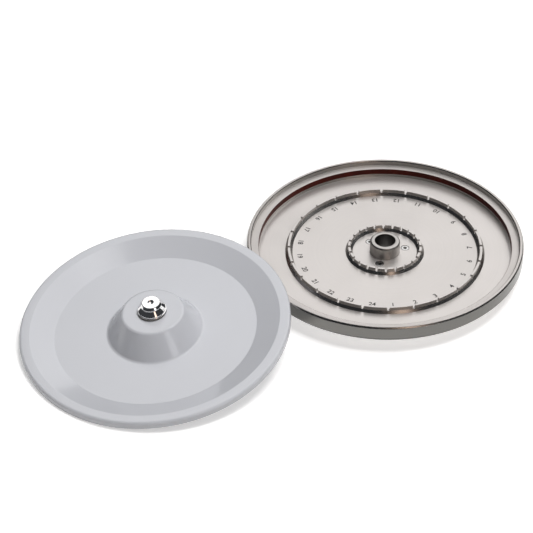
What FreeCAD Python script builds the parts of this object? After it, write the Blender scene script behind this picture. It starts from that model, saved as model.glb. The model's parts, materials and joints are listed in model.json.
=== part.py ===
import FreeCAD, Part
import math
import os

# A rotor for spinning glass capillaries, with its lid taken off.
# A turned aluminium pan holds the capillaries in two slotted rings. A silicone strip
# in the wall cushions their outer ends. A turned hub comes up through the pan and is
# held by three countersunk screws. The moulded lid carries a bush, and in the bush
# turns a stud with a chromed knob on top and a retaining ring below.
# The pan stands on its hub. The lid lies beside it, on its stud and its skirt, and
# leans on the pan's rim.
# The origin is the centre of the hub's lower face, with Z up along the bore.

# Pan
PAN_RADIUS = 93.0
FLOOR_THICKNESS = 1.7
WALL_HEIGHT = 9.7
RIM_WALL = 3.0
RIM_BEVEL = 1.0
BOTTOM_BEVEL = 1.1
LEDGE_HEIGHT = 6.2
LEDGE_WIDTH = 4.9
FLOOR_BEVEL = 0.8

# Silicone strip in the wall
CUSHION_THICKNESS = 0.9
CUSHION_HEIGHT = 3.7
CUSHION_GAP = 0.04
CUSHION_LIP = 0.35

# Slotted rings
SLOT_COUNT = 24
SLOT_WIDTH = 1.7
SLOT_DEPTH = 2.1
FIRST_SLOT_ANGLE = -87.0
OUTER_RING_RADIUS = 65.5
INNER_RING_RADIUS = 24.9
RING_WALL = 1.75
RING_HEIGHT = 4.1
RING_FOOT_BEVEL = 1.0

# Hub
HUB_RADIUS = 10.1
HUB_HEIGHT_OVER_FLOOR = 9.1
BORE_RADIUS = 6.75
FLANGE_RADIUS = 19.0
FLANGE_THICKNESS = 5.0
BASE_RADIUS = 15.0
BASE_HEIGHT = 4.6
HUB_BEVEL = 0.45
HUB_TOP_BEVEL = 1.0
HUB_FIT = 0.05

# Hub screws
SCREW_COUNT = 3
SCREW_CIRCLE_RADIUS = 14.2
FIRST_SCREW_ANGLE = 16.5
SCREW_RADIUS = 1.5
SCREW_LENGTH = 6.0
SCREW_HOLE_SPARE = 1.0
SCREW_HEAD_RADIUS = 2.9
SCREW_SOCKET_FLATS = 2.0
SCREW_SOCKET_DEPTH = 1.1
SCREW_CLEARANCE = 0.05
SCREW_HEAD_SINK = 0.02

# Lid moulding, heights from the lower edge of its skirt
LID_RADIUS = 88.7
LID_WALL = 1.1
SKIRT_WALL = 2.2
SKIRT_TOP_ROUNDING = 1.9
SKIRT_FOOT_BEVEL = 0.6
LIP_HEIGHT = 5.3
LIP_FALL = 0.4
LIP_WIDTH = 6.9
CONE_WIDTH = 15.6
PLATE_DROP = 1.0
DOME_BASE_RADIUS = 31.2
DOME_TOP_RADIUS = 20.1
DOME_HEIGHT = 16.2
DOME_TOP_ROUNDING = 1.6

# Bush in the lid
BUSH_NECK_RADIUS = 6.5
BUSH_FLANGE_RADIUS = 12.0
BUSH_FLANGE_THICKNESS = 2.0
BUSH_BODY_RADIUS = 9.5
SPIGOT_LENGTH = 3.0
SPIGOT_FIT = 0.1
BUSH_SEAT_GAP = 0.1
BUSH_NECK_RECESS = 0.05
BUSH_BEVEL = 0.4

# Stud, knob and retaining ring
STUD_RADIUS = 4.0
STUD_RUNNING_FIT = 0.05
STUD_REACH = 11.3
STUD_POINT = 0.8
STUD_IN_KNOB = 5.0
END_PLAY = 0.15
RETAINER_RADIUS = 5.6
RETAINER_THICKNESS = 1.0
RETAINER_OPENING = 50.0
GROOVE_DEPTH = 0.6
GROOVE_PLAY = 0.04
KNOB_FLANGE_RADIUS = 9.4
KNOB_FLANGE_HEIGHT = 1.8
KNOB_FLANK_RADIUS = 9.0
KNOB_NECK_RADIUS = 6.1
KNOB_NECK_HEIGHT = 5.3
KNOB_HEAD_RADIUS = 6.8
KNOB_HEAD_BOTTOM = 5.6
KNOB_HEIGHT = 8.3
KNOB_HEAD_BEVEL = 0.6
KNOB_BEVEL = 0.25
DIMPLE_RADIUS = 1.9
DIMPLE_DEPTH = 1.2

# How the lid lies beside the pan
LID_BEARING = 210.9
LID_UPHILL = 50.1
REST_GAP = 0.15

# Heights of the pan and the hub
UNDERSIDE = BASE_HEIGHT + FLANGE_THICKNESS
FLOOR = UNDERSIDE + FLOOR_THICKNESS
RIM_TOP = FLOOR + WALL_HEIGHT
LEDGE = FLOOR + LEDGE_HEIGHT
CUSHION_FOOT = LEDGE - CUSHION_HEIGHT
SEAT_TOP = LEDGE - CUSHION_LIP
RING_TOP = FLOOR + RING_HEIGHT
HUB_TOP = FLOOR + HUB_HEIGHT_OVER_FLOOR

# Radii of the pan's wall
RECESS_RADIUS = PAN_RADIUS - RIM_WALL
LEDGE_RADIUS = RECESS_RADIUS - LEDGE_WIDTH
SEAT_RADIUS = LEDGE_RADIUS + CUSHION_THICKNESS

# Radii and heights in the lid, the heights from the lower edge of its skirt
LIP_INNER_RADIUS = LID_RADIUS - LIP_WIDTH
PLATE_RADIUS = LIP_INNER_RADIUS - CONE_WIDTH
PLATE_TOP = -PLATE_DROP
DOME_TOP = PLATE_TOP + DOME_HEIGHT
DOME_CEILING = DOME_TOP - LID_WALL
BUSH_SHOULDER = HUB_HEIGHT_OVER_FLOOR - LEDGE_HEIGHT + BUSH_SEAT_GAP
SPIGOT_END = BUSH_SHOULDER - SPIGOT_LENGTH
KNOB_SEAT = DOME_TOP + END_PLAY
RETAINER_TOP = SPIGOT_END - END_PLAY
STUD_END = -STUD_REACH

Z_AXIS = FreeCAD.Vector(0, 0, 1)
CENTRE = FreeCAD.Vector(0, 0, 0)
OVERCUT = 1.0


def corner(radius, height, rounding=0.0, bevel=0.0):
    """One corner of an outline, left sharp, rounded or bevelled."""
    return radius, height, rounding, bevel


def sharp(*points):
    """Sharp corners at these radii and heights."""
    return [corner(radius, height) for radius, height in points]


def outline(corners):
    """A closed outline in the plane of radius and height, from its corners."""
    places = [FreeCAD.Vector(radius, 0, height) for radius, height, _, _ in corners]
    turns = []
    for i, (_, _, rounding, bevel) in enumerate(corners):
        here = places[i]
        back = (places[i - 1] - here).normalize()
        ahead = (places[(i + 1) % len(places)] - here).normalize()
        run = bevel
        middle = None
        if rounding:
            half = back.getAngle(ahead) / 2
            run = rounding / math.tan(half)
            middle = here + (back + ahead).normalize() * (rounding / math.sin(half) - rounding)
        turns.append((here + back * run, middle, here + ahead * run))
    edges = []
    for i, (start, middle, end) in enumerate(turns):
        if middle:
            edges.append(Part.Arc(start, middle, end))
        elif start != end:
            edges.append(Part.LineSegment(start, end))
        edges.append(Part.LineSegment(end, turns[(i + 1) % len(turns)][0]))
    return Part.Wire([edge.toShape() for edge in edges])


def turned(corners):
    """A solid of revolution about Z from its outline's corners."""
    return Part.Face(outline(corners)).revolve(CENTRE, Z_AXIS, 360)


def around(shape, angle):
    """A copy of the shape turned about Z."""
    copy = shape.copy()
    copy.rotate(CENTRE, Z_AXIS, angle)
    return copy


def evenly(count, first):
    """The angles of so many places evenly spaced round a circle."""
    return [first + i * 360.0 / count for i in range(count)]


def ring_corners(radius):
    """The outline of one upstanding ring, walked from its outer foot to its inner foot."""
    inner = radius - RING_WALL
    return [corner(radius, FLOOR, bevel=RING_FOOT_BEVEL), corner(radius, RING_TOP),
            corner(inner, RING_TOP), corner(inner, FLOOR, bevel=RING_FOOT_BEVEL)]


def slot_bar():
    """A bar with a round underside that cuts one slot through both rings."""
    start = INNER_RING_RADIUS - RING_WALL - OVERCUT
    length = OUTER_RING_RADIUS + OVERCUT - start
    half = SLOT_WIDTH / 2
    axis_height = RING_TOP - SLOT_DEPTH + half
    box = Part.makeBox(length, SLOT_WIDTH, SLOT_DEPTH, FreeCAD.Vector(start, -half, axis_height))
    rod = Part.makeCylinder(half, length, FreeCAD.Vector(start, 0, axis_height), FreeCAD.Vector(1, 0, 0))
    return box.fuse(rod).removeSplitter()


def screw_head_outline(head_radius, shank_radius, top, bottom):
    """The outline of a countersunk head on its shank, or of the hole that takes it."""
    return sharp((0, bottom), (shank_radius, bottom), (shank_radius, top - head_radius + shank_radius),
                 (head_radius, top), (0, top))


def make_pan():
    """The turned pan with its rim, ledge, strip groove, rings, slots and screw holes."""
    bore = HUB_RADIUS + HUB_FIT
    corners = [corner(bore, UNDERSIDE), corner(PAN_RADIUS, UNDERSIDE, bevel=BOTTOM_BEVEL),
               corner(PAN_RADIUS, RIM_TOP, bevel=RIM_BEVEL), corner(RECESS_RADIUS, RIM_TOP, bevel=RIM_BEVEL)]
    corners += sharp((RECESS_RADIUS, LEDGE), (LEDGE_RADIUS, LEDGE), (LEDGE_RADIUS, SEAT_TOP),
                     (SEAT_RADIUS, SEAT_TOP), (SEAT_RADIUS, CUSHION_FOOT), (LEDGE_RADIUS, CUSHION_FOOT))
    corners += [corner(LEDGE_RADIUS, FLOOR, bevel=FLOOR_BEVEL)]
    corners += ring_corners(OUTER_RING_RADIUS) + ring_corners(INNER_RING_RADIUS) + sharp((bore, FLOOR))
    bar = slot_bar()
    cutters = [around(bar, angle) for angle in evenly(SLOT_COUNT, FIRST_SLOT_ANGLE)]
    hole = turned(screw_head_outline(SCREW_HEAD_RADIUS + SCREW_CLEARANCE, SCREW_RADIUS + SCREW_CLEARANCE,
                                     FLOOR, UNDERSIDE - OVERCUT))
    hole.translate(FreeCAD.Vector(SCREW_CIRCLE_RADIUS, 0, 0))
    cutters += [around(hole, angle) for angle in evenly(SCREW_COUNT, FIRST_SCREW_ANGLE)]
    return turned(corners).cut(Part.Compound(cutters))


def make_cushion():
    """The silicone strip that stands in its groove in the wall, closed into a ring."""
    back = SEAT_RADIUS - CUSHION_GAP
    top = SEAT_TOP - CUSHION_GAP
    return turned(sharp((LEDGE_RADIUS, CUSHION_FOOT), (back, CUSHION_FOOT), (back, top), (LEDGE_RADIUS, top)))


def make_hub():
    """The hub: a base to stand on, a flange under the pan and a bored boss above it."""
    hub = turned([corner(BORE_RADIUS, 0), corner(BASE_RADIUS, 0, bevel=HUB_BEVEL),
                  corner(BASE_RADIUS, BASE_HEIGHT), corner(FLANGE_RADIUS, BASE_HEIGHT, bevel=HUB_BEVEL),
                  corner(FLANGE_RADIUS, UNDERSIDE), corner(HUB_RADIUS, UNDERSIDE),
                  corner(HUB_RADIUS, HUB_TOP, bevel=HUB_TOP_BEVEL),
                  corner(BORE_RADIUS, HUB_TOP, bevel=HUB_BEVEL)])
    depth = SCREW_LENGTH + SCREW_HOLE_SPARE
    hole = Part.makeCylinder(SCREW_RADIUS + SCREW_CLEARANCE, depth,
                             FreeCAD.Vector(SCREW_CIRCLE_RADIUS, 0, FLOOR - depth))
    return hub.cut(Part.Compound([around(hole, angle) for angle in evenly(SCREW_COUNT, FIRST_SCREW_ANGLE)]))


def make_screw():
    """A countersunk screw with a hexagon socket, standing at the centre."""
    top = FLOOR - SCREW_HEAD_SINK
    screw = turned(screw_head_outline(SCREW_HEAD_RADIUS, SCREW_RADIUS, top, FLOOR - SCREW_LENGTH))
    reach = SCREW_SOCKET_FLATS / math.sqrt(3)
    points = [FreeCAD.Vector(reach * math.cos(turn), reach * math.sin(turn), top - SCREW_SOCKET_DEPTH)
              for turn in (math.radians(step) for step in range(0, 361, 60))]
    socket = Part.Face(Part.makePolygon(points)).extrude(Z_AXIS * (SCREW_SOCKET_DEPTH + OVERCUT))
    return screw.cut(socket)


def parallel(line, distance):
    """An open run of corners moved sideways by a wall's thickness, with mitred corners."""
    moved = []
    for i, (radius, height) in enumerate(line):
        here = FreeCAD.Vector(radius, 0, height)
        runs = [FreeCAD.Vector(line[j + 1][0], 0, line[j + 1][1]) - FreeCAD.Vector(line[j][0], 0, line[j][1])
                for j in (i - 1, i) if 0 <= j < len(line) - 1]
        normals = [FreeCAD.Vector(run.z, 0, -run.x).normalize() for run in runs]
        middle = sum(normals, FreeCAD.Vector()).normalize()
        shifted = here + middle * (distance / middle.dot(normals[0]))
        moved.append((shifted.x, shifted.z))
    return moved


def make_lid_shell():
    """The moulded lid: a dome in the middle, a flat plate, a cone up to the lip, and a skirt."""
    top = [(BUSH_NECK_RADIUS, DOME_TOP), (DOME_TOP_RADIUS, DOME_TOP), (DOME_BASE_RADIUS, PLATE_TOP),
           (PLATE_RADIUS, PLATE_TOP), (LIP_INNER_RADIUS, LIP_HEIGHT), (LID_RADIUS, LIP_HEIGHT - LIP_FALL)]
    under = parallel(top, LID_WALL)
    inner_skirt = LID_RADIUS - SKIRT_WALL
    lip_slope = LIP_FALL / (LID_RADIUS - LIP_INNER_RADIUS)
    under_lip = under[-2][1] - (inner_skirt - under[-2][0]) * lip_slope
    corners = sharp(top[0]) + [corner(*top[1], rounding=DOME_TOP_ROUNDING)] + sharp(*top[2:-1])
    corners += [corner(*top[-1], rounding=SKIRT_TOP_ROUNDING), corner(LID_RADIUS, 0, bevel=SKIRT_FOOT_BEVEL)]
    corners += sharp((inner_skirt, 0), (inner_skirt, under_lip), *reversed(under[1:-1]),
                     (BUSH_NECK_RADIUS, DOME_CEILING))
    return turned(corners)


def make_bush():
    """The bush under the dome: a neck through the lid, a flange, a body and a spigot."""
    spigot = BORE_RADIUS - SPIGOT_FIT
    flange_foot = DOME_CEILING - BUSH_FLANGE_THICKNESS
    bore = STUD_RADIUS + STUD_RUNNING_FIT
    return turned(sharp((bore, SPIGOT_END), (spigot - BUSH_BEVEL, SPIGOT_END),
                        (spigot, SPIGOT_END + BUSH_BEVEL), (spigot, BUSH_SHOULDER),
                        (BUSH_BODY_RADIUS, BUSH_SHOULDER),
                        (BUSH_BODY_RADIUS, flange_foot), (BUSH_FLANGE_RADIUS, flange_foot),
                        (BUSH_FLANGE_RADIUS, DOME_CEILING), (BUSH_NECK_RADIUS, DOME_CEILING),
                        (BUSH_NECK_RADIUS, DOME_TOP - BUSH_NECK_RECESS), (bore, DOME_TOP - BUSH_NECK_RECESS)))


def make_knob():
    """The chromed knob: a flange, a flank that rounds in to a neck, and a round head."""
    neck_top = KNOB_SEAT + KNOB_NECK_HEIGHT
    flank_rounding = KNOB_FLANK_RADIUS - KNOB_NECK_RADIUS - KNOB_BEVEL
    head_foot = KNOB_SEAT + KNOB_HEAD_BOTTOM
    head_top = KNOB_SEAT + KNOB_HEIGHT
    flange_top = KNOB_SEAT + KNOB_FLANGE_HEIGHT
    return turned([corner(STUD_RADIUS, KNOB_SEAT), corner(KNOB_FLANGE_RADIUS, KNOB_SEAT, bevel=KNOB_BEVEL),
                   corner(KNOB_FLANGE_RADIUS, flange_top), corner(KNOB_FLANK_RADIUS, flange_top),
                   corner(KNOB_FLANK_RADIUS, neck_top, rounding=flank_rounding),
                   corner(KNOB_NECK_RADIUS, neck_top), corner(KNOB_NECK_RADIUS, head_foot),
                   corner(KNOB_HEAD_RADIUS, head_foot, bevel=KNOB_BEVEL),
                   corner(KNOB_HEAD_RADIUS, head_top, bevel=KNOB_HEAD_BEVEL),
                   corner(DIMPLE_RADIUS, head_top), corner(0, head_top - DIMPLE_DEPTH),
                   corner(0, KNOB_SEAT + STUD_IN_KNOB), corner(STUD_RADIUS, KNOB_SEAT + STUD_IN_KNOB)])


def make_stud():
    """The stud that the knob turns, with a groove for the retaining ring and a chamfered end."""
    groove = STUD_RADIUS - GROOVE_DEPTH
    groove_top = RETAINER_TOP + GROOVE_PLAY
    groove_foot = RETAINER_TOP - RETAINER_THICKNESS - GROOVE_PLAY
    return turned(sharp((0, STUD_END), (STUD_RADIUS - STUD_POINT, STUD_END),
                        (STUD_RADIUS, STUD_END + STUD_POINT), (STUD_RADIUS, groove_foot),
                        (groove, groove_foot), (groove, groove_top), (STUD_RADIUS, groove_top),
                        (STUD_RADIUS, KNOB_SEAT + STUD_IN_KNOB), (0, KNOB_SEAT + STUD_IN_KNOB)))


def make_retainer():
    """The open retaining ring that sits in the stud's groove below the bush."""
    inner = STUD_RADIUS - GROOVE_DEPTH + GROOVE_PLAY
    foot = RETAINER_TOP - RETAINER_THICKNESS
    ring = Part.Face(outline(sharp((inner, foot), (RETAINER_RADIUS, foot),
                                   (RETAINER_RADIUS, RETAINER_TOP), (inner, RETAINER_TOP))))
    return around(ring.revolve(CENTRE, Z_AXIS, 360 - RETAINER_OPENING), RETAINER_OPENING / 2)


def lid_tilt():
    """The tilt at which the stud's end and the foot of the skirt are on one level."""
    foot = LID_RADIUS - SKIRT_FOOT_BEVEL
    point = STUD_RADIUS - STUD_POINT
    return math.degrees(math.atan2(STUD_REACH, foot - point))


def lid_placement(distance):
    """Where the lid lies when its centre is so far from the pan's axis."""
    tilt = lid_tilt()
    uphill = FreeCAD.Rotation(Z_AXIS, LID_UPHILL).multVec(FreeCAD.Vector(1, 0, 0))
    turn = FreeCAD.Rotation(uphill.cross(Z_AXIS), tilt)
    point = FreeCAD.Vector(STUD_RADIUS - STUD_POINT, 0, STUD_END)
    rise = -FreeCAD.Rotation(FreeCAD.Vector(0, 1, 0), tilt).multVec(point).z
    centre = FreeCAD.Rotation(Z_AXIS, LID_BEARING).multVec(FreeCAD.Vector(distance, 0, 0))
    centre.z = rise + REST_GAP
    return FreeCAD.Placement(centre, turn)


def height_over_rim(distance):
    """The height of the skirt's foot over the flat of the pan's rim where it first crosses it."""
    placement = lid_placement(distance)
    flat = PAN_RADIUS - RIM_BEVEL
    heights = []
    for radius, up in ((LID_RADIUS - SKIRT_FOOT_BEVEL, 0), (LID_RADIUS, SKIRT_FOOT_BEVEL)):
        for step in range(1440):
            turn = math.radians(step / 4)
            point = placement.multVec(FreeCAD.Vector(radius * math.cos(turn), radius * math.sin(turn), up))
            if math.hypot(point.x, point.y) < flat:
                heights.append(point.z - RIM_TOP)
    return min(heights, default=LID_RADIUS)


def resting_distance():
    """The distance at which the lid, slid towards the pan, comes to lean on its rim."""
    near = PAN_RADIUS
    far = PAN_RADIUS + LID_RADIUS
    for _ in range(30):
        middle = (near + far) / 2
        if height_over_rim(middle) > REST_GAP:
            far = middle
        else:
            near = middle
    return far


def save(name, shape):
    """Write one piece to its own file."""
    shape.exportStep("parts/" + name + ".step")


def main():
    os.makedirs("parts", exist_ok=True)
    save("rotor_pan", make_pan())
    save("cushion_ring", make_cushion())
    save("hub", make_hub())
    screw = make_screw()
    screw.translate(FreeCAD.Vector(SCREW_CIRCLE_RADIUS, 0, 0))
    for number, angle in enumerate(evenly(SCREW_COUNT, FIRST_SCREW_ANGLE), start=1):
        save("hub_screw_%d" % number, around(screw, angle))
    placement = lid_placement(resting_distance())
    pieces = {"lid_shell": make_lid_shell(), "lid_bush": make_bush(), "lid_knob": make_knob(),
              "knob_stud": make_stud(), "retaining_ring": make_retainer()}
    for name, shape in pieces.items():
        shape.Placement = placement.multiply(shape.Placement)
        save(name, shape)
    print("lid centre", placement.Base, "axis", placement.Rotation.multVec(Z_AXIS), "tilt", lid_tilt())


main()
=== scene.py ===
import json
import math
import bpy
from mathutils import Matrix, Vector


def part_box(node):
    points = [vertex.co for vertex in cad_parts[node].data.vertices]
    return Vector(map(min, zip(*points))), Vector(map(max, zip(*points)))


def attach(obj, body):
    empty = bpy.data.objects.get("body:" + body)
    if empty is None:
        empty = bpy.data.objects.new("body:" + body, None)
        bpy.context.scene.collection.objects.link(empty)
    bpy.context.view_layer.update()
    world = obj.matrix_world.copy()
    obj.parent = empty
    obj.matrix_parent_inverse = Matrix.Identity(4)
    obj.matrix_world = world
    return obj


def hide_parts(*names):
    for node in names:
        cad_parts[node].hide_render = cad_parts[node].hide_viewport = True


bl_info = {
    "name": "Capillary Rotor",
    "version": (1, 0, 0),
    "blender": (4, 5, 0),
    "location": "View3D > Sidebar > Rotor",
    "description": "Builds the looks of a capillary rotor and its lid round the packed frame",
    "category": "Add Mesh",
}

import bmesh
import bpy
from mathutils import Matrix, Vector

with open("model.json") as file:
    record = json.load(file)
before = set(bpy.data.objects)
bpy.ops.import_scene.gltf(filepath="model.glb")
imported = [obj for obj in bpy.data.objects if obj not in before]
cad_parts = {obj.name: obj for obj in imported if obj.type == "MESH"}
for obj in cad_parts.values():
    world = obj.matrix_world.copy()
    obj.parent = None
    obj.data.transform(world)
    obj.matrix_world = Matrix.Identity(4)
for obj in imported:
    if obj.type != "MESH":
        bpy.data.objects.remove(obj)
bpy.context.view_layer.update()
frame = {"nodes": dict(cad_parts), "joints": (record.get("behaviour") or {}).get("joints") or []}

MM = 0.001
UP = Vector((0, 0, 1))
CENTRE = Vector((0, 0, 0))

# How finely round forms are modelled
STEPS_ROUND_PAN = 288
STEPS_ROUND_LID = 256
STEPS_ROUND_HUB = 192
STEPS_ROUND_SMALL = 96
FACET_LARGE = math.radians(9)
FACET_SMALL = math.radians(22.5)
LARGE_ROUNDING = 0.8 * MM
SAME_PLACE = 0.001 * MM
SMOOTH_ANGLE = math.radians(32)

# How far a face looks up or down, as the height of its normal
NEARLY_LEVEL = 0.8
UPRIGHT = 0.4
LEANING = 0.15
FACING_UP = 0.1

# The pan: its main radii and heights come from the frame
PAN_LOW, PAN_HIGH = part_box("rotor_pan")
CUSHION_LOW, CUSHION_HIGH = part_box("cushion_ring")
PAN_RADIUS = PAN_HIGH.x
RIM_TOP = PAN_HIGH.z
UNDERSIDE = PAN_LOW.z
FLOOR = UNDERSIDE + 1.7 * MM
LEDGE = FLOOR + 6.2 * MM
RIM_BEVEL = 1.15 * MM
RIM_INNER_BEVEL = 0.6 * MM
LOWER_BEVEL = 2.4 * MM
LOWER_BEVEL_WIDTH = 1.85 * MM
RECESS_RADIUS = PAN_RADIUS - 3.0 * MM
CUSHION_FOOT = CUSHION_LOW.z
CUSHION_TOP = CUSHION_HIGH.z
CUSHION_BACK = CUSHION_HIGH.x
CUSHION_GAP = 0.04 * MM
STRIP_SWELL = 0.12 * MM
STRIP_COVER = 0.33 * MM
SEAT_TOP = CUSHION_TOP + CUSHION_GAP
SEAT_RADIUS = CUSHION_BACK + CUSHION_GAP
LEDGE_RADIUS = SEAT_RADIUS - 0.9 * MM
STRIP_EDGE = 0.03 * MM

# The pan's materials, in the order in which the mesh has them: the level metal, then darker copies of it as
# painted shade on steep faces, on the outer wall and on the wall's lower bevel
PAN_LEVEL, PAN_STEEP_SHADED, PAN_WALL_SHADED, PAN_FOOT_SHADOW = range(4)

# The slotted rings
OUTER_RING_RADIUS = 65.5 * MM
INNER_RING_RADIUS = 24.9 * MM
RING_WALL = 1.75 * MM
RING_TOP = FLOOR + 4.1 * MM
SLOT_COUNT = 24
SLOT_PITCH = math.tau / SLOT_COUNT
FIRST_SLOT = math.radians(-87.0)
SLOT_WIDTH = 1.9 * MM
SLOT_DEPTH = 2.6 * MM
SLOT_ROUNDING = 0.49 * SLOT_WIDTH
SLOT_SEGMENTS = 6

# The numbers beside the slots
NUMBER_RADIUS = 57.6 * MM
NUMBER_LEAD = math.radians(1.9)
DIGIT_HALF = math.radians(1.4)
NUMBER_THICKNESS = 0.02 * MM
NUMBER_BOLDNESS = 0.09 * MM

# The hub and its screws
_, HUB_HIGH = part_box("hub")
HUB_RADIUS = 10.1 * MM
HUB_TOP = HUB_HIGH.z
HUB_TOP_ROUNDING = 1.4 * MM
BORE_RADIUS = 6.75 * MM
FLANGE_RADIUS = HUB_HIGH.x
BASE_RADIUS = 15.0 * MM
BASE_HEIGHT = 4.6 * MM
HUB_EDGE = 0.45 * MM
HUB_FIT = 0.05 * MM
# Painted shade: the bore is given a dark colour to stand in for the shade down inside it
BORE_SHADE_COLOUR = (0.16, 0.155, 0.15)
SCREW_COUNT = 3
SCREW_PITCH = math.tau / SCREW_COUNT
SCREW_CIRCLE_RADIUS = 14.2 * MM
FIRST_SCREW = math.radians(16.5)
SCREW_LOW, SCREW_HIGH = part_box("hub_screw_1")
SCREW_TOP = SCREW_HIGH.z
SCREW_END = SCREW_LOW.z
SCREW_HEAD_RADIUS = 2.9 * MM
SCREW_HEAD_EDGE = 0.25 * MM
SCREW_RADIUS = 1.5 * MM
SCREW_SOCKET_RADIUS = 1.35 * MM
SCREW_SOCKET_DEPTH = 1.1 * MM
SCREW_CLEARANCE = 0.05 * MM
SCREW_COLOUR = (0.62, 0.61, 0.60)

# The lid's own frame: its centre is on the plane of the skirt's foot
KNOB_JOINT = frame["joints"][0]
LID_CENTRE = Vector(KNOB_JOINT["pos_m"])
LID_TURN = UP.rotation_difference(Vector(KNOB_JOINT["axis"])).to_matrix().to_4x4()
LID_PLACE = Matrix.Translation(LID_CENTRE) @ LID_TURN


def lid_reach(node):
    """A node's radius, lowest and highest height in the lid's own frame."""
    back = LID_PLACE.inverted()
    places = [back @ vertex.co for vertex in frame["nodes"][node].data.vertices]
    heights = [place.z for place in places]
    return max(place.xy.length for place in places), min(heights), max(heights)


# The lid moulding
LID_RADIUS, _, DOME_TOP = lid_reach("lid_shell")
LID_WALL = 1.1 * MM
SKIRT_WALL = 2.2 * MM
SKIRT_FOOT_EDGE = 0.7 * MM
SKIRT_INNER_EDGE = 0.4 * MM
LIP_HEIGHT = 5.3 * MM
LIP_INNER_RADIUS = LID_RADIUS - 6.9 * MM
PLATE_RADIUS = LIP_INNER_RADIUS - 15.6 * MM
PLATE_TOP = -1.0 * MM
DOME_BASE_RADIUS = 31.2 * MM
DOME_TOP_RADIUS = 20.1 * MM
DOME_CEILING = DOME_TOP - LID_WALL
BUSH_NECK_RADIUS = 6.5 * MM

# The bush, the stud and the knob
BUSH_RADIUS, SPIGOT_END, BUSH_TOP = lid_reach("lid_bush")
SPIGOT_RADIUS = 6.65 * MM
BUSH_BODY_RADIUS = 9.5 * MM
BUSH_SHOULDER = SPIGOT_END + 3.0 * MM
BUSH_FLANGE_FOOT = DOME_CEILING - 2.0 * MM
BUSH_EDGE = 0.3 * MM
BUSH_COLOUR = (0.66, 0.65, 0.63)
STUD_RADIUS, STUD_END, STUD_TOP = lid_reach("knob_stud")
STUD_FIT = 0.05 * MM
STUD_POINT = 0.8 * MM
STUD_COLOUR = (0.58, 0.57, 0.56)
_, RETAINER_FOOT, RETAINER_TOP = lid_reach("retaining_ring")
GROOVE_DEPTH = 0.6 * MM
GROOVE_PLAY = 0.04 * MM
RETAINER_COLOUR = (0.30, 0.30, 0.31)
THREAD_PITCH = 1.25 * MM
THREAD_DEPTH = 0.6 * MM
THREAD_ROWS = 8
KNOB_RADIUS, KNOB_FOOT, KNOB_TOP = lid_reach("lid_knob")
KNOB_FLANGE_TOP = KNOB_FOOT + 1.8 * MM
KNOB_FLANK_RADIUS = 9.0 * MM
KNOB_CONE_FOOT = KNOB_FOOT + 2.65 * MM
KNOB_NECK_RADIUS = 6.35 * MM
KNOB_NECK_TOP = KNOB_FOOT + 5.3 * MM
KNOB_HEAD_FOOT = KNOB_FOOT + 5.6 * MM
KNOB_HEAD_RADIUS = 7.0 * MM
KNOB_SHOULDER = KNOB_FOOT + 6.5 * MM
KNOB_CROWN_RADIUS = 5.8 * MM
KNOB_EDGE = 0.25 * MM
# Painted shade: the knob's flange is darkened under the chrome head, standing in for the shade and dark
# reflections there
KNOB_FLANGE_SHADE_COLOUR = (0.17, 0.16, 0.15)
DIMPLE_RADIUS = 2.05 * MM
DIMPLE_DEPTH = 1.3 * MM
DIMPLE_FLOOR_RADIUS = 0.65 * DIMPLE_RADIUS
DIMPLE_FLOOR = KNOB_TOP - 0.8 * DIMPLE_DEPTH


class RotorPanSettings(bpy.types.PropertyGroup):
    """Sizes and colours of the pan, its strip, its hub and its numbers."""

    edge_rounding: bpy.props.FloatProperty(
        name="Edge rounding", description="Rounding of the turned edges",
        default=0.2 * MM, min=0.0, unit="LENGTH")
    foot_bevel: bpy.props.FloatProperty(
        name="Foot bevel", description="Bevel where the rings stand on the floor",
        default=1.6 * MM, min=0.0, unit="LENGTH")
    rim_rounding: bpy.props.FloatProperty(
        name="Rim rounding", description="Rounding of the rim's outer upper edge",
        default=0.8 * MM, min=0.0, unit="LENGTH")
    number_size: bpy.props.FloatProperty(
        name="Number size", description="Size of the numbers beside the slots",
        default=4.9 * MM, min=0.0, unit="LENGTH")
    metal_colour: bpy.props.FloatVectorProperty(
        name="Metal", description="Colour of the turned aluminium",
        subtype="COLOR", default=(0.69, 0.655, 0.633), min=0.0, max=1.0)
    # Painted shade: a darker copy of the turned metal's colour for the pan's steep faces and the hub,
    # standing in for the dark surroundings they mirror
    shaded_metal_colour: bpy.props.FloatVectorProperty(
        name="Steep faces", description="Colour of the hub and of the smoother cut walls and bevels",
        subtype="COLOR", default=(0.50, 0.48, 0.46), min=0.0, max=1.0)
    # Painted shade: the outer wall is the same metal with its colour darkened for the dark surroundings it
    # mirrors; only its low roughness is the brushing
    wall_shade_colour: bpy.props.FloatVectorProperty(
        name="Outer wall", description="Colour of the brushed outer wall",
        subtype="COLOR", default=(0.17, 0.167, 0.158), min=0.0, max=1.0)
    strip_colour: bpy.props.FloatVectorProperty(
        name="Strip", description="Colour of the silicone strip",
        subtype="COLOR", default=(0.072, 0.007, 0.003), min=0.0, max=1.0)
    number_colour: bpy.props.FloatVectorProperty(
        name="Numbers", description="Colour of the printed numbers",
        subtype="COLOR", default=(0.03, 0.028, 0.027), min=0.0, max=1.0)


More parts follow.
